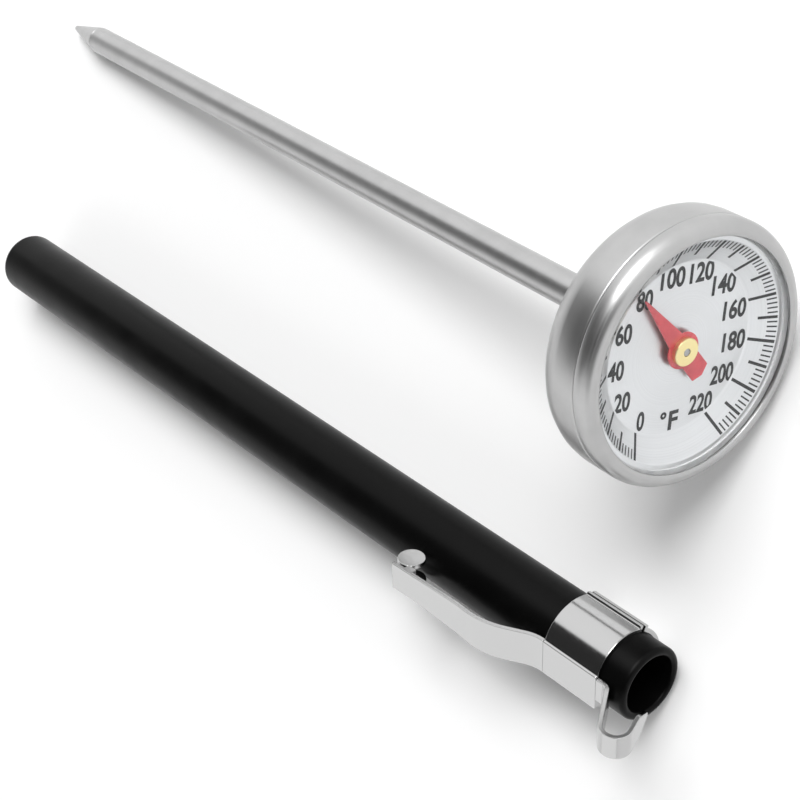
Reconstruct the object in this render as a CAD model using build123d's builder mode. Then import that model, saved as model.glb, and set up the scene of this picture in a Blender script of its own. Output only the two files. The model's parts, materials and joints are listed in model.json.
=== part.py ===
from build123d import *

import os
from math import asin, atan2, cos, hypot, radians, sin

# Pocket dial thermometer lying on a surface, with its sheath lying beside it.
# Millimetres. The origin is on the surface, under the middle of the whole layout.
# +Z is up. The stem points along -X, and the dial faces +X.

# ---- driving dimensions: stem and head -------------------------------------------------
stem_radius = 1.8
stem_wall = 0.35
tip_cone = 7.4            # length of the drawn point, about two stem diameters
tip_weld = 0.2            # plain land between the point and the tube
tip_nose = 0.35           # radius of the blunt nose
nose_rounding = 0.28
tip_spigot = 1.4          # length that plugs into the tube
lip_height = 129.0        # tip of the stem to the front lip of the bezel
head_depth = 8.1          # case back to the front lip
head_radius = 13.4
window_radius = 11.8      # clear opening inside the bezel lip
case_wall = 0.5
neck_radius = 2.6         # hole in the case's back, filled by the bushing
back_fillet = 3.5
bezel_depth = 2.05        # side seam to the front lip
rim_radius = 12.85        # the case's joggled rim, under the bezel
rim_wall = 0.4
rim_drop = 0.3            # the rim stops this far below the bezel's lip
seam_bevel = 0.12         # both edges at the seam are eased by this
skirt_gap = 0.05          # between the rim and the bezel's skirt
shoulder_drop = 1.35      # front lip down to where the bezel's side begins
crown_inset = 0.42        # how far the bezel's rounding cuts its outer corner
lip_thickness = 0.4
lens_thickness = 0.7
gasket_thickness = 0.2
dial_thickness = 0.3
dial_depth = 1.6          # how far the dish drops below its flange
dial_flat_radius = 8.6
dial_scale_radius = 11.15
disc_radius = 12.25       # lens, gasket and dial flange share it
spacer_wall = 0.55
spacer_stand = 1.7        # spacer's foot above the case's back
nut_height = 3.0
nut_across_flats = 6.6
nut_bevel = 0.4           # height of the bevel on the nut's corners
washer_thickness = 0.4
washer_margin = 0.2       # the washer is this much smaller than the nut
bushing_flange = 3.4
bushing_flange_height = 0.8
stem_flange_height = 0.7
end_play = 0.1            # between pieces that turn face to face
running_gap = 0.06        # radial clearance of the case on the stem
shank_radius = 1.6        # the stem is necked down where it passes the nut and the case
shank_taper = 0.4         # length over which its bore narrows, below the nut
shank_reach = 2.3         # how far it stands past the case's back

# ---- driving dimensions: pointer movement ----------------------------------------------
staff_radius = 0.4
staff_gap = 0.05
pointer_thickness = 0.15
pointer_lift = 0.45       # underside of the pointer above the dial
pointer_length = 8.0
pointer_disc_radius = 1.85
pointer_turn = 21.7       # where the pointer stands, clockwise from the top
hub_radius = 1.4
hub_height = 0.5
coil_radius = 1.15
coil_length = 39.0
coil_pitch = 3.0
coil_strip = (0.15, 1.5)  # strip thickness and width
coil_gap = 0.9            # from the coil to the pieces at its ends
anchor_length = 1.9
anchor_boss = 0.8
collar_length = 2.0
collar_margin = 0.1       # the collar is this much wider than the coil
guide_length = 2.0

# ---- driving dimensions: sheath and clip -----------------------------------------------
sheath_radius = 4.0
sheath_length = 119.0
bore_radius = 3.1
end_wall = 1.4
end_rounding = 0.9
mouth_rounding = 0.5
bore_rounding = 0.3
sheath_spacing = 30.8     # sideways distance from the stem axis to the sheath's mouth
mouth_lead = 4.9          # the mouth lies this far past the centre of the bezel lip
sheath_swing = 0.5        # degrees that the sheath's axis turns away from the stem's
clip_thickness = 0.5
clip_turn = 33.0          # the clip's place around the sheath, from the top
clip_play = 0.02
band_start = 108.6        # from the sheath's closed end
band_end = 115.9
seam_turn = -116.0        # the band's open seam, counted from the clip's middle
arm_tip = 89.0            # from the sheath's closed end
arm_tip_half_width = 1.6
strip_upper_edge = 1.5    # the flat strip's edges at the band, either side of its middle
strip_lower_edge = 2.5
hook_half_width = 1.3
ear_radius = 1.5
seam_gap = 0.3
flange_reach = 0.3

# ---- where the thermometer lies --------------------------------------------------------
# The shoulder of the point and the rounded heel of the case both touch the surface, so the
# axis is inclined: a line from the shoulder, tangent to the heel's rounding, lies level.
heel_reach = lip_height - head_depth + back_fillet - tip_cone
heel_drop = head_radius - back_fillet - stem_radius
incline = atan2(heel_drop, heel_reach) + asin(back_fillet / hypot(heel_reach, heel_drop))
stem_direction = Vector(cos(incline), 0, sin(incline))
stem_up = Vector(-sin(incline), 0, cos(incline))
tip_x = -68.85
stem_y = 11.79
tip_rise = stem_radius * cos(incline) - tip_cone * sin(incline)
tip_point = Vector(tip_x, stem_y, tip_rise)

# Local x is the radius and local y is the distance from the tip.
stem_profile = Plane(origin=tip_point, x_dir=stem_up, z_dir=(0, 1, 0))
stem_axis = Axis(tip_point, stem_direction)


def across_stem(height, turn=0.0):
    """The plane across the stem at a height above the tip, its x axis turned from the top."""
    x_dir = stem_up * cos(radians(turn)) + Vector(0, 1, 0) * sin(radians(turn))
    return Plane(origin=tip_point + stem_direction * height, x_dir=x_dir, z_dir=stem_direction)


# ---- where the sheath lies -------------------------------------------------------------
# It rests on its closed end and on the clip's band, which is thicker than the tube.
sheath_incline = asin((clip_thickness + clip_play) / band_start)
swing = radians(sheath_swing)
sheath_direction = Vector(
    cos(sheath_incline) * cos(swing), cos(sheath_incline) * sin(swing), sin(sheath_incline)
)
lip_centre = tip_point + stem_direction * lip_height
mouth_point = Vector(
    lip_centre.X + mouth_lead,
    stem_y - sheath_spacing,
    sheath_radius + sheath_length * sin(sheath_incline),
)
end_point = mouth_point - sheath_direction * sheath_length
sheath_side = sheath_direction.cross(Vector(0, 0, 1)).normalized()
sheath_up = sheath_side.cross(sheath_direction).normalized()
sheath_axis = Axis(end_point, sheath_direction)


def along_sheath(turn=0.0):
    """The plane that holds the sheath's axis: x is the radius, y runs from the closed end."""
    x_dir = sheath_up * cos(radians(turn)) + sheath_side * sin(radians(turn))
    return Plane(origin=end_point, x_dir=x_dir, z_dir=x_dir.cross(sheath_direction))


def across_sheath(height, turn=0.0):
    """The plane across the sheath at a height above its closed end."""
    x_dir = sheath_up * cos(radians(turn)) + sheath_side * sin(radians(turn))
    return Plane(origin=end_point + sheath_direction * height, x_dir=x_dir, z_dir=sheath_direction)


def save(piece, label):
    """Labels a finished piece and writes it."""
    piece.part.label = label
    export_step(piece.part, f"parts/{label}.step")


os.makedirs("parts", exist_ok=True)

# Heights above the tip, worked out from the front lip downwards.
back_height = lip_height - head_depth
seam_height = lip_height - bezel_depth
lens_top = lip_height - lip_thickness
lens_bottom = lens_top - lens_thickness
flange_top = lens_bottom - gasket_thickness
flange_bottom = flange_top - dial_thickness
dial_front = flange_top - dial_depth
dial_back = dial_front - dial_thickness
nut_top = back_height - washer_thickness
nut_bottom = nut_top - nut_height
bore_of_stem = stem_radius - stem_wall
bore_of_shank = shank_radius - stem_wall
tube_start = tip_cone + tip_weld
tube_end = back_height + shank_reach
anchor_start = tube_start + tip_spigot + end_play
anchor_end = anchor_start + anchor_length
coil_start = anchor_end + coil_gap
collar_start = coil_start + coil_length + coil_gap
collar_end = collar_start + collar_length
pointer_height = dial_front + pointer_lift
hub_base = pointer_height + pointer_thickness
hub_top = hub_base + hub_height

# ---- stem ------------------------------------------------------------------------------
# The shoulder where the stem is necked down is what the nut sits against.
with BuildPart() as stem_tube:
    with BuildSketch(stem_profile):
        with BuildLine():
            Polyline(
                (bore_of_stem, tube_start),
                (stem_radius, tube_start),
                (stem_radius, nut_bottom),
                (shank_radius, nut_bottom),
                (shank_radius, tube_end),
                (bore_of_shank, tube_end),
                (bore_of_shank, nut_bottom - shank_taper),
                (bore_of_stem, nut_bottom - 2 * shank_taper),
                close=True,
            )
        make_face()
    revolve(axis=stem_axis)
save(stem_tube, "stem_tube")

with BuildPart() as stem_tip:
    with BuildSketch(stem_profile) as tip_outline:
        with BuildLine():
            Polyline(
                (0, 0),
                (tip_nose, 0),
                (stem_radius, tip_cone),
                (stem_radius, tube_start),
                (bore_of_stem, tube_start),
                (bore_of_stem, tube_start + tip_spigot),
                (0, tube_start + tip_spigot),
                close=True,
            )
        make_face()
        fillet(tip_outline.vertices().sort_by_distance((tip_nose, 0))[0], nose_rounding)
    revolve(axis=stem_axis)
save(stem_tip, "stem_tip")

# ---- bimetal movement inside the stem --------------------------------------------------
with BuildPart() as coil_anchor:
    with BuildSketch(across_stem(anchor_start)):
        Circle(bore_of_stem)
    extrude(amount=anchor_end - anchor_start)
    with BuildSketch(across_stem(anchor_end)):
        Circle(coil_radius - coil_strip[0])
    extrude(amount=anchor_boss)
save(coil_anchor, "coil_anchor")

with BuildPart() as bimetal_coil:
    with BuildLine() as coil_line:
        Helix(
            pitch=coil_pitch,
            height=coil_length - coil_strip[1],
            radius=coil_radius,
            center=tip_point + stem_direction * coil_start,
            direction=stem_direction,
        )
    coil_end = coil_line.line @ 0
    outward = coil_end - (tip_point + stem_direction * coil_start)
    with BuildSketch(Plane(origin=coil_end, x_dir=outward, z_dir=coil_line.line % 0)):
        Rectangle(coil_strip[0], coil_strip[1])
    sweep(path=coil_line.line, is_frenet=True)
save(bimetal_coil, "bimetal_coil")

with BuildPart() as coil_collar:
    with BuildSketch(across_stem(collar_start)):
        Circle(coil_radius + collar_margin)
        Circle(staff_radius, mode=Mode.SUBTRACT)
    extrude(amount=collar_end - collar_start)
save(coil_collar, "coil_collar")

with BuildPart() as pointer_staff:
    with BuildSketch(across_stem(collar_start)):
        Circle(staff_radius)
    extrude(amount=hub_top - collar_start)
    fillet(pointer_staff.faces().sort_by(stem_axis)[-1].edges(), staff_radius * 0.4)
save(pointer_staff, "pointer_staff")

guides = {
    "lower_staff_guide": (collar_end + 8 * guide_length, bore_of_stem),
    "upper_staff_guide": (back_height - guide_length / 2, bore_of_shank),
}
for guide_name, (guide_height, guide_radius) in guides.items():
    with BuildPart() as staff_guide:
        with BuildSketch(across_stem(guide_height)):
            Circle(guide_radius)
            Circle(staff_radius + staff_gap, mode=Mode.SUBTRACT)
        extrude(amount=guide_length)
    save(staff_guide, guide_name)

# ---- calibration nut and what holds the case on the stem -------------------------------
with BuildPart() as calibration_nut:
    with BuildSketch(across_stem(nut_bottom)):
        RegularPolygon(nut_across_flats / 2, 6, major_radius=False)
    extrude(amount=nut_height)
    with BuildSketch(stem_profile):
        with BuildLine():
            corner_radius = nut_across_flats / 2 / cos(radians(30))
            Polyline(
                (nut_across_flats / 2 - nut_bevel / 4, nut_bottom),
                (corner_radius + nut_bevel / 2, nut_bottom + nut_bevel),
                (corner_radius + nut_bevel / 2, nut_bottom),
                close=True,
            )
        make_face()
    revolve(axis=stem_axis, mode=Mode.SUBTRACT)
    with BuildSketch(across_stem(nut_bottom)):
        Circle(shank_radius)
    extrude(amount=nut_height, mode=Mode.SUBTRACT)
save(calibration_nut, "calibration_nut")

with BuildPart() as spring_washer:
    with BuildSketch(across_stem(nut_top)):
        Circle(nut_across_flats / 2 - washer_margin)
        Circle(shank_radius + end_play, mode=Mode.SUBTRACT)
    extrude(amount=washer_thickness)
save(spring_washer, "spring_washer")

bushing_bore = shank_radius + running_gap
bushing_top = back_height + case_wall + bushing_flange_height
with BuildPart() as case_bushing:
    with BuildSketch(stem_profile):
        with BuildLine():
            Polyline(
                (bushing_bore, back_height),
                (neck_radius, back_height),
                (neck_radius, back_height + case_wall),
                (bushing_flange, back_height + case_wall),
                (bushing_flange, bushing_top),
                (bushing_bore, bushing_top),
                close=True,
            )
        make_face()
    revolve(axis=stem_axis)
save(case_bushing, "case_bushing")

with BuildPart() as stem_flange:
    with BuildSketch(across_stem(bushing_top + end_play)):
        Circle(bushing_flange - 3 * end_play)
        Circle(shank_radius, mode=Mode.SUBTRACT)
    extrude(amount=stem_flange_height)
save(stem_flange, "stem_flange")

# ---- case ------------------------------------------------------------------------------
inner_wall = head_radius - case_wall
rim_inner = rim_radius - rim_wall
rim_top = lens_top - rim_drop
with BuildPart() as case_cup:
    with BuildSketch(stem_profile) as cup_outline:
        with BuildLine():
            Polyline(
                (neck_radius, back_height),
                (head_radius, back_height),
                (head_radius, seam_height - seam_bevel),
                (head_radius - seam_bevel, seam_height),
                (rim_radius, seam_height),
                (rim_radius, rim_top),
                (rim_inner, rim_top),
                (rim_inner, seam_height - case_wall),
                (inner_wall, seam_height - 2 * case_wall),
                (inner_wall, back_height + case_wall),
                (neck_radius, back_height + case_wall),
                close=True,
            )
        make_face()
        outer_corner = cup_outline.vertices().sort_by_distance((head_radius, back_height))[0]
        fillet(outer_corner, back_fillet)
        inner_corner = cup_outline.vertices().sort_by_distance((inner_wall, back_height + case_wall))
        fillet(inner_corner[0], back_fillet - case_wall)
    revolve(axis=stem_axis)
save(case_cup, "case_cup")

skirt_inner = rim_radius + skirt_gap
with BuildPart() as bezel_ring:
    with BuildSketch(stem_profile):
        with BuildLine():
            shoulder = (head_radius, lip_height - shoulder_drop)
            Polyline(
                (window_radius, lip_height),
                (window_radius, lens_top),
                (skirt_inner, lens_top),
                (skirt_inner, seam_height),
                (head_radius - seam_bevel, seam_height),
                (head_radius, seam_height + seam_bevel),
                shoulder,
            )
            crown = (head_radius - crown_inset, lip_height - crown_inset)
            ThreePointArc(shoulder, crown, (window_radius, lip_height))
        make_face()
    revolve(axis=stem_axis)
save(bezel_ring, "bezel_ring")

with BuildPart() as lens:
    with BuildSketch(across_stem(lens_bottom)):
        Circle(disc_radius)
    extrude(amount=lens_thickness)
save(lens, "lens")

with BuildPart() as lens_gasket:
    with BuildSketch(across_stem(flange_top)):
        Circle(disc_radius)
        Circle(window_radius - gasket_thickness, mode=Mode.SUBTRACT)
    extrude(amount=gasket_thickness)
save(lens_gasket, "lens_gasket")

staff_hole = 0.9
with BuildPart() as dial_plate:
    with BuildSketch(stem_profile):
        with BuildLine():
            Polyline(
                (staff_hole, dial_front),
                (dial_flat_radius, dial_front),
                (dial_scale_radius, flange_top),
                (disc_radius, flange_top),
                (disc_radius, flange_bottom),
                (dial_scale_radius + 0.1, flange_bottom),
                (dial_flat_radius + 0.1, dial_back),
                (staff_hole, dial_back),
                close=True,
            )
        make_face()
    revolve(axis=stem_axis)
save(dial_plate, "dial_plate")

spacer_bottom = back_height + spacer_stand
with BuildPart() as dial_spacer:
    with BuildSketch(across_stem(spacer_bottom)):
        Circle(disc_radius - skirt_gap)
        Circle(disc_radius - skirt_gap - spacer_wall, mode=Mode.SUBTRACT)
    extrude(amount=flange_bottom - spacer_bottom)
save(dial_spacer, "dial_spacer")

# ---- pointer ---------------------------------------------------------------------------
pointer_hole = 0.7
tail_corner = 3.7
tail_point = 4.15
tail_half_width = 1.1
blade_half_width = 1.15
blade_tip_half_width = 0.1
with BuildPart() as pointer:
    with BuildSketch(across_stem(pointer_height, pointer_turn)):
        Circle(pointer_disc_radius)
        with BuildLine():
            Polyline(
                (0, blade_half_width),
                (pointer_length - blade_tip_half_width, blade_tip_half_width),
                (pointer_length, 0),
                (pointer_length - blade_tip_half_width, -blade_tip_half_width),
                (0, -blade_half_width),
                close=True,
            )
        make_face()
        with BuildLine():
            Polyline(
                (0, tail_half_width),
                (-tail_corner, tail_half_width),
                (-tail_point, 0),
                (-tail_corner, -tail_half_width),
                (0, -tail_half_width),
                close=True,
            )
        make_face()
        Circle(pointer_hole, mode=Mode.SUBTRACT)
    extrude(amount=pointer_thickness)
save(pointer, "pointer")

hub_rounding = 0.1
hub_foot = 0.3            # how far the hub is riveted through the pointer
with BuildPart() as pointer_hub:
    with BuildSketch(across_stem(hub_base)):
        Circle(hub_radius)
    extrude(amount=hub_height)
    fillet(pointer_hub.faces().sort_by(stem_axis)[-1].edges(), hub_rounding)
    with BuildSketch(across_stem(hub_base)):
        Circle(pointer_hole)
    extrude(amount=-(pointer_thickness + hub_foot))
    with BuildSketch(across_stem(hub_top)):
        Circle(staff_radius)
    extrude(amount=-(hub_height + pointer_thickness + hub_foot), mode=Mode.SUBTRACT)
save(pointer_hub, "pointer_hub")

# ---- sheath ----------------------------------------------------------------------------
with BuildPart() as sheath_tube:
    with BuildSketch(along_sheath()) as sheath_outline:
        with BuildLine():
            Polyline(
                (0, 0),
                (sheath_radius, 0),
                (sheath_radius, sheath_length),
                (bore_radius, sheath_length),
                (bore_radius, end_wall),
                (0, end_wall),
                close=True,
            )
        make_face()
        corners = sheath_outline.vertices()
        fillet(corners.sort_by_distance((sheath_radius, 0))[0], end_rounding)
        fillet(corners.sort_by_distance((sheath_radius, sheath_length))[0], mouth_rounding)
        fillet(corners.sort_by_distance((bore_radius, sheath_length))[0], bore_rounding)
    revolve(axis=sheath_axis)
save(sheath_tube, "sheath_tube")

# ---- pocket clip: one steel stamping, band, hook and arm -------------------------------
band_inner = sheath_radius + clip_play
band_outer = band_inner + clip_thickness
strip_middle = (strip_lower_edge - strip_upper_edge) / 2
strip_width = strip_lower_edge + strip_upper_edge
band_length = band_end - band_start
with BuildPart() as clip_band:
    with BuildSketch(across_sheath(band_start, clip_turn + seam_turn)):
        Circle(band_outer)
        with Locations((band_outer, 0)):
            Rectangle(2 * flange_reach, seam_gap + 2 * clip_thickness)
    extrude(amount=band_length)
    with BuildSketch(across_sheath(band_start, clip_turn)):
        with Locations((band_outer / 2, strip_middle)):
            Rectangle(band_outer, strip_width)
    extrude(amount=band_length)
    with BuildSketch(across_sheath(band_start, clip_turn + seam_turn)):
        Circle(band_inner)
        with Locations((band_outer, 0)):
            Rectangle(2 * (band_outer - bore_radius), seam_gap)
    extrude(amount=band_length, mode=Mode.SUBTRACT)
save(clip_band, "clip_band")

half = clip_thickness / 2
hook_root = band_inner + half
hook_path = [
    (hook_root, band_end),
    (hook_root, band_end + 1.4),
    (9.0, 120.9),
    (9.6, 124.1),
    (3.3, 121.4),
]
hook_bends = [1.2, 1.5, 1.4]
hook_taper = 2.0          # the hook's end narrows to a point over this reach
with BuildPart() as clip_hook:
    with BuildSketch(along_sheath(clip_turn)):
        with BuildLine() as hook_line:
            FilletPolyline(*hook_path, radius=hook_bends)
        trace(line_width=clip_thickness)
    extrude(amount=hook_half_width, both=True)
    with BuildSketch(across_sheath(sheath_length + clip_thickness, clip_turn)):
        for edge in (-hook_half_width, hook_half_width):
            with BuildLine():
                Polyline(
                    (hook_path[-1][0] - clip_thickness, 0),
                    (hook_path[-1][0] + hook_taper, edge),
                    (hook_path[-1][0] - clip_thickness, 2 * edge),
                    close=True,
                )
            make_face()
    extrude(amount=sheath_radius, mode=Mode.SUBTRACT)
save(clip_hook, "clip_hook")

arm_path = [
    (hook_root, band_start),
    (hook_root, band_start - 1.2),
    (7.0, band_start - 6.2),
    (6.9, band_start - 10.0),
    (7.4, arm_tip - 0.6),
]
arm_bends = [4.2, 9.0, 12.0]
arm_radial = sheath_up * cos(radians(clip_turn)) + sheath_side * sin(radians(clip_turn))
arm_plan = Plane(origin=end_point, x_dir=sheath_direction.cross(arm_radial), z_dir=arm_radial)
ear_height = 5.45
ear_neck = 6.9
ear_setback = 0.7         # the ears' middle from the arm's tip
neck_setback = 2.1
neck_size = (0.9, 1.2)
strip_run = 6.0           # the strip keeps its width this far past the band
with BuildPart() as clip_arm:
    with BuildSketch(along_sheath(clip_turn)):
        with BuildLine():
            FilletPolyline(*arm_path, radius=arm_bends)
        trace(line_width=clip_thickness)
    extrude(amount=strip_lower_edge, both=True)
    with BuildSketch(arm_plan):
        with BuildLine():
            Polyline(
                (-strip_upper_edge, band_start),
                (-strip_upper_edge, band_start - strip_run),
                (-arm_tip_half_width, arm_tip + 2 * ear_radius),
                (-arm_tip_half_width, arm_tip),
                (arm_tip_half_width, arm_tip),
                (arm_tip_half_width, arm_tip + 2 * ear_radius),
                (strip_lower_edge, band_start - strip_run),
                (strip_lower_edge, band_start),
                close=True,
            )
        make_face()
    extrude(amount=3 * sheath_radius, mode=Mode.INTERSECT)
    for side in (-1, 1):
        with BuildSketch(along_sheath(clip_turn).offset(side * arm_tip_half_width)):
            with Locations((ear_height, arm_tip + ear_setback)):
                Circle(ear_radius)
            with Locations((ear_neck, arm_tip + neck_setback)):
                Rectangle(*neck_size)
        extrude(amount=-side * clip_thickness)
save(clip_arm, "clip_arm")
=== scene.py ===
import json
from math import acos, cos, hypot, pi, radians, sin, tan

import bmesh
import bpy
from mathutils import Matrix, Vector


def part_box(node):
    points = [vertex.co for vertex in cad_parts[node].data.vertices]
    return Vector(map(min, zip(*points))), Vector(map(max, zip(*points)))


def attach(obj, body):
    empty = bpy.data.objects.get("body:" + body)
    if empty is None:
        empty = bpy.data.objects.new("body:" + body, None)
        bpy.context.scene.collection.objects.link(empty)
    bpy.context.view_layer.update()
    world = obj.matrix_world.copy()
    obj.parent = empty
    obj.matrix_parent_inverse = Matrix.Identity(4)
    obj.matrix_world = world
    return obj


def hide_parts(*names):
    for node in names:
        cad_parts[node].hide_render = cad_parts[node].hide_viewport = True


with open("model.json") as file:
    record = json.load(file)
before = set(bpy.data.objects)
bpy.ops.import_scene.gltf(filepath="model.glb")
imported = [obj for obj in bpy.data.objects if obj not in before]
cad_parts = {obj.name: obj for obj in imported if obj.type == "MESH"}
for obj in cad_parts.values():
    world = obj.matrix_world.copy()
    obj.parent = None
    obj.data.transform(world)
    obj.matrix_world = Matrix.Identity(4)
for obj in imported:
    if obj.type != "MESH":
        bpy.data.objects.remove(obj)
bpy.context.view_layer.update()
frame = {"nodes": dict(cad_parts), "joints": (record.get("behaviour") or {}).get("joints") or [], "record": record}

# A pocket dial thermometer and its sheath, lying on a pale surface. Outlines are given in
# millimetres, as (radius, height, rounding) about the axis that the piece is turned on.
MM = 0.001
UP = Vector((0, 0, 1))
nodes = frame["nodes"]
joints = {joint["name"]: joint for joint in frame["joints"]}


class Axle:
    """A turning axis: x runs sideways, y upwards and z along it, in millimetres."""

    def __init__(self, origin, along, upward):
        self.origin = Vector(origin)
        self.along = Vector(along).normalized()
        self.upward = (upward - upward.dot(self.along) * self.along).normalized()
        self.side = self.upward.cross(self.along)

    def turn(self):
        """The axis's own directions as a rotation."""
        return Matrix((self.side, self.upward, self.along)).transposed().to_4x4()

    def seat(self):
        """An unturned object matrix with its origin on the axis, in millimetres."""
        return Matrix.Translation(self.origin) @ Matrix.Scale(MM, 4)

    def offsets(self, node):
        """A CAD node's corners as (radius, height) pairs in millimetres."""
        pairs = []
        for vertex in nodes[node].data.vertices:
            arm = vertex.co - self.origin
            height = arm.dot(self.along)
            pairs.append(((arm - height * self.along).length / MM, height / MM))
        return pairs

    def span(self, node):
        """The lowest and highest place of a CAD node along the axis."""
        heights = [height for radius, height in self.offsets(node)]
        return min(heights), max(heights)

    def girth(self, node):
        """The least and greatest distance of a CAD node's corners from the axis."""
        reaches = [radius for radius, height in self.offsets(node)]
        return min(reaches), max(reaches)


def raised(axle, height):
    """The same axis with its origin moved along it."""
    return Axle(axle.origin + axle.along * height * MM, axle.along, axle.upward)


# ---- the two axes, from the joints -----------------------------------------------------
turn_joint = joints["calibration_turn"]
stem_axle = Axle(turn_joint["pos_m"], -Vector(turn_joint["axis"]), UP)
stem_axle = raised(stem_axle, stem_axle.span("stem_tip")[0])
draw_joint = joints["sheath_draw"]
flex_joint = joints["clip_flex"]
sheath_along = -Vector(draw_joint["axis"]).normalized()
clip_out = sheath_along.cross(Vector(flex_joint["axis"]).normalized())
low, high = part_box("sheath_tube")
sheath_middle = (low + high) / 2
sheath_axle = Axle(sheath_middle, sheath_along, clip_out)
sheath_axle = raised(sheath_axle, sheath_axle.span("sheath_tube")[0])


# ---- materials -------------------------------------------------------------------------
def new_material(name, colour, metallic=0.0, roughness=0.5):
    """A Principled material and short ways to its nodes."""
    made = bpy.data.materials.new(name)
    made.use_nodes = True
    tree = made.node_tree
    shader = tree.nodes["Principled BSDF"]
    shader.inputs["Base Color"].default_value = (*colour, 1)
    shader.inputs["Metallic"].default_value = metallic
    shader.inputs["Roughness"].default_value = roughness
    return made, tree, shader


def add(tree, kind, **settings):
    """A new node with its settings."""
    node = tree.nodes.new(kind)
    for key, value in settings.items():
        setattr(node, key, value)
    return node


def noise_at(tree, vector, scale, detail=4.0):
    """Noise read at a vector socket. Returns its strength socket."""
    node = add(tree, "ShaderNodeTexNoise")
    node.inputs["Scale"].default_value = scale
    node.inputs["Detail"].default_value = detail
    tree.links.new(vector, node.inputs["Vector"])
    return node.outputs["Fac"]


def object_place(tree):
    """The place on the piece in its own millimetres."""
    return add(tree, "ShaderNodeTexCoord").outputs["Object"]


def vector_math(tree, operation, first, second=None):
    """A vector sum of two sockets or constants. Returns the node."""
    node = add(tree, "ShaderNodeVectorMath", operation=operation)
    for socket, given in zip(node.inputs, (first, second)):
        if isinstance(given, bpy.types.NodeSocket):
            tree.links.new(given, socket)
        elif given is not None:
            socket.default_value = given
    return node


def turned_place(tree):
    """The place as (distance from the stem's axis, 0, height), the same all the way round."""
    place = object_place(tree)
    height = vector_math(tree, "DOT_PRODUCT", place, stem_axle.along).outputs["Value"]
    foot = vector_math(tree, "SCALE", stem_axle.along)
    tree.links.new(height, foot.inputs["Scale"])
    arm = vector_math(tree, "SUBTRACT", place, foot.outputs["Vector"])
    reach = vector_math(tree, "LENGTH", arm.outputs["Vector"])
    joined = add(tree, "ShaderNodeCombineXYZ")
    tree.links.new(reach.outputs["Value"], joined.inputs["X"])
    tree.links.new(height, joined.inputs["Z"])
    return joined.outputs[0]


def spread(tree, factor, low_value, high_value, target):
    """Drives a number socket between two values by a 0 to 1 factor."""
    node = add(tree, "ShaderNodeMapRange")
    node.inputs["From Min"].default_value = 0.3
    node.inputs["From Max"].default_value = 0.7
    node.inputs["To Min"].default_value = low_value
    node.inputs["To Max"].default_value = high_value
    tree.links.new(factor, node.inputs["Value"])
    tree.links.new(node.outputs[0], target)


def tint(tree, factor, dark, light, target):
    """Drives a colour socket between two colours by a factor."""
    ramp = add(tree, "ShaderNodeValToRGB")
    ramp.color_ramp.elements[0].position = 0.35
    ramp.color_ramp.elements[0].color = (*dark, 1)
    ramp.color_ramp.elements[1].position = 0.65
    ramp.color_ramp.elements[1].color = (*light, 1)
    tree.links.new(factor, ramp.inputs[0])
    tree.links.new(ramp.outputs[0], target)


def bump(tree, factor, depth, shader):
    """Relief of a depth in metres on a shader's normal."""
    node = add(tree, "ShaderNodeBump")
    node.inputs["Strength"].default_value = 1.0
    node.inputs["Distance"].default_value = depth
    tree.links.new(factor, node.inputs["Height"])
    tree.links.new(node.outputs[0], shader.inputs["Normal"])


def grey(value):
    """A neutral colour."""
    return (value, value, value)


def steel(name, level, smooth, rough, line_scale, relief):
    """Satin steel with fine lines round its axis, and faint handling marks."""
    made, tree, shader = new_material(name, grey(level), metallic=1.0)
    lines = noise_at(tree, turned_place(tree), line_scale, detail=3.0)
    marks = noise_at(tree, object_place(tree), 0.35, detail=6.0)
    tint(tree, marks, grey(level * 0.93), grey(level), shader.inputs["Base Color"])
    spread(tree, lines, smooth, rough, shader.inputs["Roughness"])
    bump(tree, lines, relief, shader)
    return made


def plastic(name, colour, smooth, rough, grain_scale, relief, sheen=0.25):
    """Moulded plastic with a fine even grain."""
    made, tree, shader = new_material(name, colour)
    grain = noise_at(tree, object_place(tree), grain_scale, detail=5.0)
    blush = noise_at(tree, object_place(tree), 0.25, detail=3.0)
    shader.inputs["Specular IOR Level"].default_value = sheen
    spread(tree, blush, smooth, rough, shader.inputs["Roughness"])
    bump(tree, grain, relief, shader)
    return made


def chrome():
    """Bright plate with the slight waves of a bent strip."""
    made, tree, shader = new_material("clip_chrome", grey(0.50), metallic=1.0)
    waves = noise_at(tree, object_place(tree), 0.3, detail=1.0)
    haze = noise_at(tree, object_place(tree), 3.0, detail=6.0)
    spread(tree, haze, 0.12, 0.17, shader.inputs["Roughness"])
    bump(tree, waves, 0.000006, shader)
    return made


def dial_metal():
    """Pale aluminium brushed in fine rings, so that it shines in soft streaks."""
    made, tree, shader = new_material("dial_aluminium", grey(0.74), metallic=1.0)
    rings = noise_at(tree, turned_place(tree), 9.0, detail=4.0)
    shader.inputs["Anisotropic"].default_value = 0.55
    around = vector_math(tree, "CROSS_PRODUCT", stem_axle.along, object_place(tree))
    tangent = vector_math(tree, "NORMALIZE", around.outputs["Vector"])
    tree.links.new(tangent.outputs["Vector"], shader.inputs["Tangent"])
    tint(tree, rings, grey(0.71), grey(0.77), shader.inputs["Base Color"])
    spread(tree, rings, 0.34, 0.46, shader.inputs["Roughness"])
    bump(tree, rings, 0.000004, shader)
    return made


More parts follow.
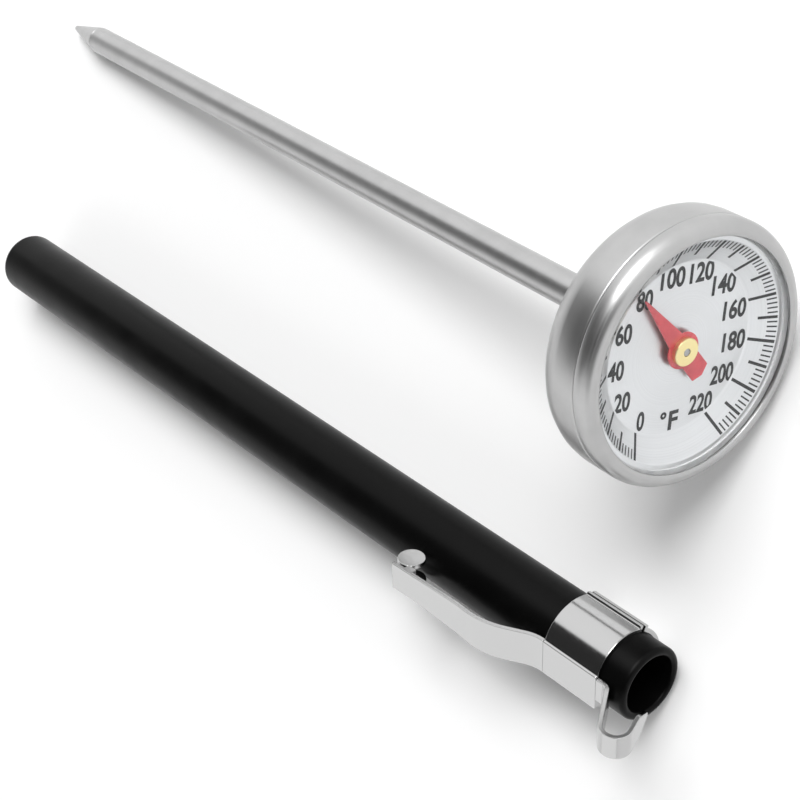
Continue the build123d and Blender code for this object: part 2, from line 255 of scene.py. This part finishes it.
def clear_window():
    """Glass that lets the lamps through to the dial."""
    made, tree, shader = new_material("lens_clear", (0.98, 0.99, 1.0), roughness=0.02)
    shader.inputs["Transmission Weight"].default_value = 1.0
    shader.inputs["IOR"].default_value = 1.2
    path = add(tree, "ShaderNodeLightPath")
    open_way = add(tree, "ShaderNodeBsdfTransparent")
    mixed = add(tree, "ShaderNodeMixShader")
    tree.links.new(path.outputs["Is Shadow Ray"], mixed.inputs[0])
    tree.links.new(shader.outputs[0], mixed.inputs[1])
    tree.links.new(open_way.outputs[0], mixed.inputs[2])
    tree.links.new(mixed.outputs[0], tree.nodes["Material Output"].inputs["Surface"])
    return made


def lacquer():
    """Thin red lacquer with a gloss coat."""
    made, tree, shader = new_material("pointer_red", (0.58, 0.03, 0.045), roughness=0.35)
    shader.inputs["Coat Weight"].default_value = 0.6
    shader.inputs["Coat Roughness"].default_value = 0.12
    cloud = noise_at(tree, object_place(tree), 0.9, detail=4.0)
    tint(tree, cloud, (0.52, 0.025, 0.04), (0.64, 0.045, 0.06), shader.inputs["Base Color"])
    return made


def brass(name, colour, smooth, rough):
    """Brass with fine turning lines."""
    made, tree, shader = new_material(name, colour, metallic=1.0)
    lines = noise_at(tree, turned_place(tree), 8.0, detail=3.0)
    spread(tree, lines, smooth, rough, shader.inputs["Roughness"])
    return made


def print_ink():
    """Matt black print."""
    made, tree, shader = new_material("dial_print", grey(0.012), roughness=0.55)
    grain = noise_at(tree, object_place(tree), 6.0)
    tint(tree, grain, grey(0.008), grey(0.018), shader.inputs["Base Color"])
    return made


# One finish per material slot. The numbers after a colour or level are the least and the
# greatest roughness, then the pattern's scale and the relief's depth, where it has them.
finish = {
    "steel_satin": steel("steel_satin", 0.47, 0.31, 0.39, 7.0, 0.000002),
    "wire_steel": steel("wire_steel", 0.42, 0.25, 0.40, 9.0, 0.000002),
    "coil_bimetal": steel("coil_bimetal", 0.5, 0.3, 0.5, 5.0, 0.000002),
    "guide_brass": brass("guide_brass", (0.72, 0.55, 0.26), 0.25, 0.4),
    "hub_brass": brass("hub_brass", (0.90, 0.76, 0.38), 0.25, 0.38),
    "gasket_silicone": plastic("gasket_silicone", grey(0.7), 0.5, 0.7, 6.0, 0.00001),
    "spacer_plastic": plastic("spacer_plastic", grey(0.6), 0.4, 0.5, 5.0, 0.000005),
    "sheath_plastic": plastic("sheath_plastic", grey(0.002), 0.28, 0.38, 2.2, 0.000006, 0.08),
    "dial_aluminium": dial_metal(),
    "pointer_red": lacquer(),
    "lens_clear": clear_window(),
    "clip_chrome": chrome(),
}
ink = print_ink()
for entry in frame["record"]["subparts"]:
    shown = nodes[entry["node"]]
    shown.data.materials.clear()
    shown.data.materials.append(finish[entry["material_slot"]])


# ---- making meshes ---------------------------------------------------------------------
ARC_STEPS = 6
AROUND = 160
SHARP = radians(32)


def rounded(corners):
    """Turns (x, y, rounding) corners into points, with each rounding as an arc."""
    points = []
    for index, (x, y, radius) in enumerate(corners):
        if radius == 0:
            points.append((x, y))
            continue
        before, after = corners[index - 1], corners[(index + 1) % len(corners)]
        back = Vector((before[0] - x, before[1] - y)).normalized()
        ahead = Vector((after[0] - x, after[1] - y)).normalized()
        half = acos(max(-1.0, min(1.0, back.dot(ahead)))) / 2
        middle = Vector((x, y)) + (back + ahead).normalized() * radius / sin(half)
        first = Vector((x, y)) + back * radius / tan(half) - middle
        last = Vector((x, y)) + ahead * radius / tan(half) - middle
        sweep = first.angle_signed(last)
        for step in range(ARC_STEPS + 1):
            arm = first.copy()
            arm.rotate(Matrix.Rotation(-sweep * step / ARC_STEPS, 2))
            points.append(tuple(middle + arm))
    return points


def piece_from(name, mesh_edit, axle, body, slot, replaced, material=None):
    """Makes an object from a bmesh in an axle's millimetres and fastens it to a body."""
    mesh = bpy.data.meshes.new(name)
    bmesh.ops.transform(mesh_edit, matrix=axle.turn(), verts=mesh_edit.verts)
    bmesh.ops.recalc_face_normals(mesh_edit, faces=mesh_edit.faces)
    mesh_edit.to_mesh(mesh)
    mesh_edit.free()
    mesh.shade_smooth()
    mesh.set_sharp_from_angle(angle=SHARP)
    piece = bpy.data.objects.new(name, mesh)
    bpy.context.scene.collection.objects.link(piece)
    piece.matrix_world = axle.seat()
    mesh.materials.append(material or finish[slot])
    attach(piece, body)
    if replaced:
        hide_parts(*replaced)
    return piece


def turned(name, axle, outline, body, slot, replaced=()):
    """A piece turned from a closed outline. Points on the axis close it."""
    edit = bmesh.new()
    rings = []
    for radius, height in outline:
        if radius < 1e-6:
            rings.append([edit.verts.new((0, 0, height))])
            continue
        ring = []
        for step in range(AROUND):
            angle = 2 * pi * step / AROUND
            ring.append(edit.verts.new((radius * sin(angle), radius * cos(angle), height)))
        rings.append(ring)
    for index, ring in enumerate(rings):
        following = rings[(index + 1) % len(rings)]
        if len(ring) == 1 and len(following) == 1:
            continue
        for step in range(AROUND):
            after = (step + 1) % AROUND
            if len(ring) == 1:
                edit.faces.new((ring[0], following[step], following[after]))
            elif len(following) == 1:
                edit.faces.new((ring[step], following[0], ring[after]))
            else:
                edit.faces.new((ring[step], following[step], following[after], ring[after]))
    return piece_from(name, edit, axle, body, slot, replaced)


def softened(name, node, axle, edge, body, slot):
    """A copy of a CAD node with its sharp edges rounded, which stands for the node."""
    edit = bmesh.new()
    edit.from_mesh(nodes[node].data)
    inward = (axle.seat() @ axle.turn()).inverted()
    bmesh.ops.transform(edit, matrix=inward, verts=edit.verts)
    bmesh.ops.remove_doubles(edit, verts=edit.verts, dist=0.002)
    bmesh.ops.dissolve_limit(edit, angle_limit=radians(0.6), verts=edit.verts, edges=edit.edges)
    crisp = [e for e in edit.edges if len(e.link_faces) == 2 and e.calc_face_angle(0) > SHARP]
    bmesh.ops.bevel(edit, geom=crisp, offset=edge, segments=2, profile=0.5,
                    affect="EDGES", clamp_overlap=True)
    piece = piece_from(name, edit, axle, body, slot, (node,))
    even = piece.modifiers.new("even", "WEIGHTED_NORMAL")
    even.keep_sharp = True
    even.weight = 100
    return piece


# ---- stem ------------------------------------------------------------------------------
stem_radius = stem_axle.girth("stem_tube")[1]
tube_start, tube_end = stem_axle.span("stem_tube")
tube_wall = 0.35
stem_bore = stem_radius - tube_wall
shank_radius = 1.6
shank_taper = 0.4
shank_bore = stem_axle.girth("stem_tube")[0]
shank_start = stem_axle.span("calibration_nut")[0]
spigot_end = stem_axle.span("stem_tip")[1]
land = 0.2
nose = 0.35
nose_rounding = 0.8 * nose
cone_rounding = 1.2
weld_crease = 0.03
turned("stem_point", stem_axle, rounded([
    (0, 0, 0),
    (nose, 0, nose_rounding),
    (stem_radius, tube_start - land, cone_rounding),
    (stem_radius, tube_start - weld_crease, 0),
    (stem_radius - weld_crease, tube_start, 0),
    (stem_bore, tube_start, 0),
    (stem_bore, spigot_end, 0),
    (0, spigot_end, 0),
]), "stem", "steel_satin", ("stem_tip",))
turned("stem_shaft", stem_axle, rounded([
    (stem_bore, tube_start, 0),
    (stem_radius - weld_crease, tube_start, 0),
    (stem_radius, tube_start + weld_crease, 0),
    (stem_radius, shank_start, 0),
    (shank_radius, shank_start, 0),
    (shank_radius, tube_end, 0),
    (shank_bore, tube_end, 0),
    (shank_bore, shank_start - shank_taper, 0),
    (stem_bore, shank_start - 2 * shank_taper, 0),
]), "stem", "steel_satin", ("stem_tube",))
nut_edge = 0.12
washer_edge = 0.06
softened("hex_nut", "calibration_nut", stem_axle, nut_edge, "stem", "steel_satin")
softened("washer", "spring_washer", stem_axle, washer_edge, "stem", "wire_steel")

# ---- head ------------------------------------------------------------------------------
head_radius = stem_axle.girth("case_cup")[1]
neck_radius = stem_axle.girth("case_cup")[0]
back, rim_top = stem_axle.span("case_cup")
seam, lip = stem_axle.span("bezel_ring")
window_radius = stem_axle.girth("bezel_ring")[0]
lens_low, lens_high = stem_axle.span("lens")
disc_radius = stem_axle.girth("lens")[1]
wall = 0.5
heel = 3.5
rim_radius = 12.85
rim_wall = 0.4
joggle = 0.3
skirt_gap = 0.05
neck_rounding = 0.15
seam_rounding = 0.22
turned("case_shell", stem_axle, rounded([
    (neck_radius, back, neck_rounding),
    (head_radius, back, heel),
    (head_radius, seam, seam_rounding),
    (rim_radius, seam, 0),
    (rim_radius, rim_top, 0),
    (rim_radius - rim_wall, rim_top, 0),
    (rim_radius - rim_wall, seam - wall, 0),
    (head_radius - wall, seam - wall - joggle, 0),
    (head_radius - wall, back + wall, heel - wall),
    (neck_radius, back + wall, 0),
]), "head", "steel_satin", ("case_cup",))
crown_drop = 0.35
crown_rounding = 1.4
lip_land = 0.35
lip_rounding = 0.45
lip_bevel = 0.15
bevel_rounding = 0.12
seat_rounding = 0.05
turned("bezel", stem_axle, rounded([
    (window_radius, lens_high, seat_rounding),
    (rim_radius + skirt_gap, lens_high, 0),
    (rim_radius + skirt_gap, seam, 0),
    (head_radius, seam, seam_rounding),
    (head_radius, lip - crown_drop, crown_rounding),
    (window_radius + lip_land, lip, lip_rounding),
    (window_radius, lip - lip_bevel, bevel_rounding),
]), "head", "steel_satin", ("bezel_ring",))
glass_rounding = 0.08
turned("window", stem_axle, rounded([
    (0, lens_low, 0),
    (disc_radius, lens_low, glass_rounding),
    (disc_radius, lens_high, glass_rounding),
    (0, lens_high, 0),
]), "head", "lens_clear", ("lens",))

# ---- dial ------------------------------------------------------------------------------
flange_low, flange_high = lens_low - 0.5, lens_low - 0.2
dish_depth = 1.6
metal = 0.3
dish_rounding = 0.8
flange_rounding = 0.12
back_inset = 0.1
flat_radius = 8.6
scale_radius = 11.15
dial_front = flange_high - dish_depth
staff_hole = 0.9
turned("dial_face", stem_axle, rounded([
    (staff_hole, dial_front, 0),
    (flat_radius, dial_front, dish_rounding),
    (scale_radius, flange_high, flange_rounding),
    (disc_radius, flange_high, 0),
    (disc_radius, flange_low, 0),
    (scale_radius + back_inset, flange_low, 0),
    (flat_radius + back_inset, dial_front - metal, 0),
    (staff_hole, dial_front - metal, 0),
]), "head", "dial_aluminium", ("dial_plate",))

# The scale runs clockwise over 300 degrees of arc, and its middle stands at dial_turn.
scale_top = 220
scale_sweep = 300.0
dial_turn = 64.0
print_lift = 0.012
print_thickness = 0.012
slope = dish_depth / (scale_radius - flat_radius)


def scale_angle(reading):
    """Clockwise turn of a reading from the head's top, in radians."""
    return radians(dial_turn + scale_sweep * (reading / scale_top - 0.5))


def dial_height(radius):
    """Height of the dial's front at a distance from its middle."""
    return dial_front + max(0.0, radius - flat_radius) * slope


def add_tick(edit, angle, inner, outer, width):
    """A printed line on the sloping ring."""
    outward = Vector((sin(angle), cos(angle), 0))
    across = Vector((cos(angle), -sin(angle), 0)) * width / 2
    corners = []
    for radius in (inner, outer):
        for lift in (print_lift - print_thickness, print_lift):
            centre = outward * radius + Vector((0, 0, dial_height(radius) + lift))
            corners.append([edit.verts.new(centre - across), edit.verts.new(centre + across)])
    (a, b), (c, d), (e, f), (g, h) = corners
    sides = ((a, b, d, c), (e, g, h, f), (a, e, f, b), (c, d, h, g), (a, c, g, e), (b, f, h, d))
    for side in sides:
        edit.faces.new(side)


marks = bmesh.new()
tick_step, half_step, numeral_step = 2, 10, 20
tick_outer = 11.05
long_tick = (8.75, 0.32)  # inner end and width
middle_tick = (9.4, 0.30)
short_tick = (10.2, 0.16)
for reading in range(0, scale_top + 1, tick_step):
    if reading % numeral_step == 0:
        inner, width = long_tick
    elif reading % half_step == 0:
        inner, width = middle_tick
    else:
        inner, width = short_tick
    add_tick(marks, scale_angle(reading), inner, tick_outer, width)
piece_from("dial_marks", marks, stem_axle, "head", "dial_aluminium", (), ink)

numeral_height = 2.0
digit_width = 0.9
digit_pitch = 1.0
numeral_edge = 8.5
boldness = 0.028
degree_box = (0.75, 0.75, -0.95, -6.7)  # width, height, x and y
unit_box = (1.15, numeral_height, 0.35, -7.4)


def add_text(edit, words, width, height, x, y):
    """Printed characters that fill a box centred at (x, y), upright on the dial."""
    curve = bpy.data.curves.new("characters", "FONT")
    curve.body = words
    curve.offset = boldness
    curve.extrude = print_thickness / 2
    curve.resolution_u = 6
    holder = bpy.data.objects.new("characters", curve)
    bpy.context.scene.collection.objects.link(holder)
    depsgraph = bpy.context.evaluated_depsgraph_get()
    mesh = bpy.data.meshes.new_from_object(holder.evaluated_get(depsgraph))
    across = [vertex.co.x for vertex in mesh.vertices]
    upward = [vertex.co.y for vertex in mesh.vertices]
    left, right_edge, foot, head = min(across), max(across), min(upward), max(upward)
    centred = Matrix.Translation((-(left + right_edge) / 2, -(foot + head) / 2, 0))
    fitted = Matrix.Diagonal((width / (right_edge - left), height / (head - foot), 1, 1))
    turn = Matrix.Rotation(-radians(dial_turn), 4, "Z")
    mesh.transform(turn @ Matrix.Translation((x, y, dial_front + print_lift)) @ fitted @ centred)
    edit.from_mesh(mesh)
    bpy.data.objects.remove(holder)
    bpy.data.meshes.remove(mesh)
    bpy.data.curves.remove(curve)


numerals = bmesh.new()
for reading in range(0, scale_top + 1, numeral_step):
    words = str(reading)
    angle = scale_angle(reading) - radians(dial_turn)
    width = digit_width + (len(words) - 1) * digit_pitch
    reach = numeral_edge - hypot(width / 2 * sin(angle), numeral_height / 2 * cos(angle))
    add_text(numerals, words, width, numeral_height, reach * sin(angle), reach * cos(angle))
add_text(numerals, "\u00b0", *degree_box)
add_text(numerals, "F", *unit_box)
piece_from("dial_numerals", numerals, stem_axle, "head", "dial_aluminium", (), ink)

# ---- pointer ---------------------------------------------------------------------------
thin_edge = 0.03
softened("pointer_blade", "pointer", stem_axle, thin_edge, "pointer_assembly", "pointer_red")
softened("pointer_boss", "pointer_hub", stem_axle, thin_edge, "pointer_assembly", "hub_brass")

# ---- sheath ----------------------------------------------------------------------------
sheath_radius = sheath_axle.girth("sheath_tube")[1]
sheath_length = sheath_axle.span("sheath_tube")[1]
bore_radius = 3.1
end_wall = 1.4
closed_rounding = 0.9
mouth_rounding = 0.5
bore_rounding = 0.35
floor_rounding = 0.5
turned("sheath_body", sheath_axle, rounded([
    (0, 0, 0),
    (sheath_radius, 0, closed_rounding),
    (sheath_radius, sheath_length, mouth_rounding),
    (bore_radius, sheath_length, bore_rounding),
    (bore_radius, end_wall, floor_rounding),
    (0, end_wall, 0),
]), "sheath", "sheath_plastic", ("sheath_tube",))

# ---- clip ------------------------------------------------------------------------------
strip_edge = 0.1
softened("clip_collar", "clip_band", sheath_axle, strip_edge, "sheath", "clip_chrome")
softened("clip_loop", "clip_hook", sheath_axle, strip_edge, "sheath", "clip_chrome")
softened("clip_blade", "clip_arm", sheath_axle, strip_edge, "clip_arm", "clip_chrome")


# ---- surface, light and camera ---------------------------------------------------------
def floor():
    """A large pale sheet under the object."""
    reach = 3.0
    drop = 0.00002
    mesh = bpy.data.meshes.new("floor")
    turns = ((-1, -1), (1, -1), (1, 1), (-1, 1))
    corners = [(reach * x, reach * y, -drop) for x, y in turns]
    mesh.from_pydata(corners, [], [(0, 1, 2, 3)])
    made = new_material("floor_white", grey(0.9), roughness=0.7)[0]
    mesh.materials.append(made)
    sheet = bpy.data.objects.new("floor", mesh)
    bpy.context.scene.collection.objects.link(sheet)


def softbox(name, place, target, size, watts):
    """A rectangular area lamp aimed at a point."""
    lamp = bpy.data.lights.new(name, "AREA")
    lamp.shape = "RECTANGLE"
    lamp.size, lamp.size_y = size
    lamp.energy = watts
    holder = bpy.data.objects.new(name, lamp)
    holder.location = place
    holder.rotation_euler = (Vector(target) - Vector(place)).to_track_quat("-Z", "Y").to_euler()
    bpy.context.scene.collection.objects.link(holder)


floor()
softbox("key", (0.1, 0.45, 0.7), (0, 0, 0), (0.6, 0.4), 5)


def studio(dark, pale):
    """A pale room with a dark ceiling strip, which gives the plated band its black streak."""
    world = bpy.data.worlds.new("studio")
    world.use_nodes = True
    tree = world.node_tree
    place = add(tree, "ShaderNodeTexCoord").outputs["Generated"]
    parts = add(tree, "ShaderNodeSeparateXYZ")
    tree.links.new(place, parts.inputs[0])
    lit = None
    for direction, unlit, full in (("Y", 0.14, 0.22), ("Y", -0.62, -0.72), ("Z", 0.50, 0.32)):
        edge = add(tree, "ShaderNodeMapRange", interpolation_type="SMOOTHSTEP")
        edge.inputs["From Min"].default_value = unlit
        edge.inputs["From Max"].default_value = full
        tree.links.new(parts.outputs[direction], edge.inputs["Value"])
        if lit is None:
            lit = edge.outputs[0]
            continue
        most = add(tree, "ShaderNodeMath", operation="MAXIMUM")
        tree.links.new(lit, most.inputs[0])
        tree.links.new(edge.outputs[0], most.inputs[1])
        lit = most.outputs[0]
    level = add(tree, "ShaderNodeMapRange")
    level.inputs["To Min"].default_value = dark
    level.inputs["To Max"].default_value = pale
    tree.links.new(lit, level.inputs["Value"])
    tree.links.new(level.outputs[0], tree.nodes["Background"].inputs["Strength"])
    tree.nodes["Background"].inputs["Color"].default_value = (1, 1, 1, 1)
    bpy.context.scene.world = world


studio(0.04, 1.25)
bpy.context.scene.view_settings.view_transform = "Standard"

# The camera looks down on the dial from beyond the head, and is rolled, so that the stem
# runs from the upper left of the picture to the right.
camera_place = Vector((152.71, 23.91, 154.28)) * MM
camera_azimuth = radians(13.25)
camera_elevation = radians(47.40)
camera_roll = radians(75.73)
camera_lens = 81.8
camera_shift = (0.005, -0.013)
backward = Vector((
    cos(camera_elevation) * cos(camera_azimuth),
    cos(camera_elevation) * sin(camera_azimuth),
    sin(camera_elevation),
))
level_right = UP.cross(backward).normalized()
level_down = level_right.cross(backward)
right = cos(camera_roll) * level_right + sin(camera_roll) * level_down
down = cos(camera_roll) * level_down - sin(camera_roll) * level_right
lens = bpy.data.cameras.new("camera")
lens.lens = camera_lens
lens.shift_x, lens.shift_y = camera_shift
lens.clip_start = 0.01
camera = bpy.data.objects.new("camera", lens)
bpy.context.scene.collection.objects.link(camera)
camera_turn = Matrix((right, -down, backward)).transposed().to_4x4()
camera.matrix_world = Matrix.Translation(camera_place) @ camera_turn
bpy.context.scene.camera = camera
